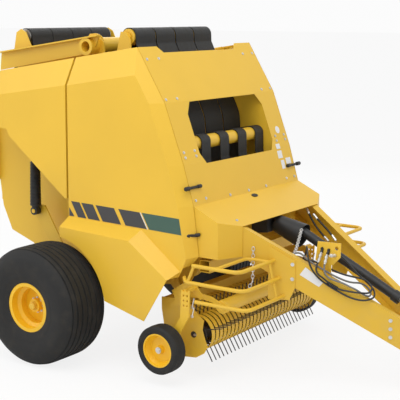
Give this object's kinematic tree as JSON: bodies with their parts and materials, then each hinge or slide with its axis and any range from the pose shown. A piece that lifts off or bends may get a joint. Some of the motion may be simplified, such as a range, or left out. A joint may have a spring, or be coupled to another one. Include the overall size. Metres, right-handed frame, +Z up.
{
  "type": "round baler",
  "caption": "Trailed round baler with a belt chamber, hinged tailgate, tined pickup, gull-wing side shields and a drawn tongue with its jack.",
  "frame": {"origin": "on the ground, under the middle of the machine's length, on its mid plane", "axes": "+X forward to the hitch, +Y to the machine's left, +Z up"},
  "size_m": [4.76, 3.054, 3.0141],
  "materials": {
    "yellow_paint": "satin",
    "dark_paint": "satin",
    "tyre_rubber": "matte",
    "belt_rubber": "matte",
    "bare_steel": "satin",
    "tine_steel": "satin",
    "zinc_steel": "satin",
    "chrome_rod": "polished",
    "dark_iron": "matte",
    "black_plastic": "matte",
    "yellow_plastic": "matte"
  },
  "bodies": {
    "frame": {"axle": "yellow_paint", "chamber_walls": "yellow_paint", "front_panel": "yellow_paint", "hood": "yellow_paint", "shield_rails": "yellow_paint", "fixed_rollers": "bare_steel", "front_belts": "belt_rubber", "cross_tubes": "yellow_paint", "tongue_beams": "yellow_paint", "hitch": "yellow_paint", "gearbox": "dark_iron", "pto_cone": "black_plastic", "pto_guard": "black_plastic", "pto_shaft": "bare_steel", "hose_plate": "yellow_paint", "guard_rails": "yellow_paint"},
    "shield_right": {"side_shield_right": "yellow_paint"},
    "shield_left": {"side_shield_left": "yellow_paint"},
    "tailgate": {"tailgate_walls": "yellow_paint", "tension_arms": "yellow_paint", "tailgate_rollers": "bare_steel", "tailgate_belts": "belt_rubber", "tailgate_tubes": "yellow_paint", "tailgate_shields": "yellow_paint", "net_box": "yellow_paint"},
    "barrel_left": {"cylinder_barrel_left": "dark_paint"},
    "barrel_right": {"cylinder_barrel_right": "dark_paint"},
    "rod_left": {"cylinder_rod_left": "chrome_rod"},
    "rod_right": {"cylinder_rod_right": "chrome_rod"},
    "pickup": {"pickup_frame": "yellow_paint", "stripper_bands": "yellow_paint", "arch_plates": "yellow_paint", "gauge_arms": "yellow_paint"},
    "reel": {"reel": "tine_steel"},
    "crop_roller": {"crop_roller": "yellow_paint"},
    "gauge_wheel_left": {"gauge_tyre_left": "tyre_rubber", "gauge_rim_left": "yellow_paint"},
    "gauge_wheel_right": {"gauge_tyre_right": "tyre_rubber", "gauge_rim_right": "yellow_paint"},
    "main_wheel_left": {"main_tyre_left": "tyre_rubber", "main_rim_left": "yellow_paint"},
    "main_wheel_right": {"main_tyre_right": "tyre_rubber", "main_rim_right": "yellow_paint"},
    "pto_yoke": {"pto_yoke": "bare_steel"},
    "jack_tube": {"jack_tube": "yellow_paint"},
    "jack_leg": {"jack_leg": "zinc_steel"}
  },
  "joints": [
    {"name": "tailgate", "type": "hinge", "parent": "frame", "child": "tailgate", "pos_m": [-0.93, 0, 2.845], "axis": [0, 1, 0], "range_deg": [0, 60]},
    {"name": "shield_left", "type": "hinge", "parent": "frame", "child": "shield_left", "pos_m": [-0.896, 0.881, 2.742], "axis": [0.9891, 0, 0.1473], "range_deg": [0, 75]},
    {"name": "barrel_left", "type": "hinge", "parent": "frame", "child": "barrel_left", "pos_m": [-1.52, 0.845, 1.29], "axis": [0, 1, 0], "range_deg": [-4, 1]},
    {"name": "rod_left", "type": "slide", "parent": "barrel_left", "child": "rod_left", "axis": [0.0265, 0, 0.9996], "range_m": [0, 0.7]},
    {"name": "shield_right", "type": "hinge", "parent": "frame", "child": "shield_right", "pos_m": [-0.896, -0.881, 2.742], "axis": [-0.9891, 0, -0.1473], "range_deg": [0, 75]},
    {"name": "barrel_right", "type": "hinge", "parent": "frame", "child": "barrel_right", "pos_m": [-1.52, -0.845, 1.29], "axis": [0, 1, 0], "range_deg": [-4, 1]},
    {"name": "rod_right", "type": "slide", "parent": "barrel_right", "child": "rod_right", "axis": [0.0265, 0, 0.9996], "range_m": [0, 0.7]},
    {"name": "pickup_lift", "type": "hinge", "parent": "frame", "child": "pickup", "pos_m": [-0.04, 0, 0.8], "axis": [0, 1, 0], "range_deg": [0, 17]},
    {"name": "reel", "type": "hinge", "parent": "pickup", "child": "reel", "pos_m": [0.405, 0, 0.418], "axis": [0, 1, 0], "continuous": true},
    {"name": "crop_roller", "type": "hinge", "parent": "pickup", "child": "crop_roller", "pos_m": [0.235, 0, 0.745], "axis": [0, -1, 0], "range_deg": [0, 25]},
    {"name": "gauge_wheel_left", "type": "hinge", "parent": "pickup", "child": "gauge_wheel_left", "pos_m": [0.232, 1.18, 0.316], "axis": [0, 1, 0], "continuous": true},
    {"name": "main_wheel_left", "type": "hinge", "parent": "frame", "child": "main_wheel_left", "pos_m": [-1.05, 1.254, 0.546], "axis": [0, 1, 0], "continuous": true},
    {"name": "gauge_wheel_right", "type": "hinge", "parent": "pickup", "child": "gauge_wheel_right", "pos_m": [0.232, -1.18, 0.316], "axis": [0, 1, 0], "continuous": true},
    {"name": "main_wheel_right", "type": "hinge", "parent": "frame", "child": "main_wheel_right", "pos_m": [-1.05, -1.254, 0.546], "axis": [0, 1, 0], "continuous": true},
    {"name": "pto_yoke", "type": "hinge", "parent": "frame", "child": "pto_yoke", "pos_m": [1.99934, 0, 0.709], "axis": [1, 0, 0], "continuous": true},
    {"name": "jack_swing", "type": "hinge", "parent": "frame", "child": "jack_tube", "pos_m": [2.01, 0.21261, 0.56], "axis": [0.3246, 0.9458, 0], "range_deg": [0, 90]},
    {"name": "jack_leg", "type": "slide", "parent": "jack_tube", "child": "jack_leg", "axis": [0, 0, 1], "range_m": [0, 0.2]}
  ],
  "couplings": [
    {"joint": "barrel_left", "follows": "tailgate", "ratio": -0.0556},
    {"joint": "barrel_right", "follows": "tailgate", "ratio": -0.0556},
    {"joint": "rod_left", "follows": "tailgate", "m_per_rad": 0.6665},
    {"joint": "rod_right", "follows": "tailgate", "m_per_rad": 0.6665}
  ]
}
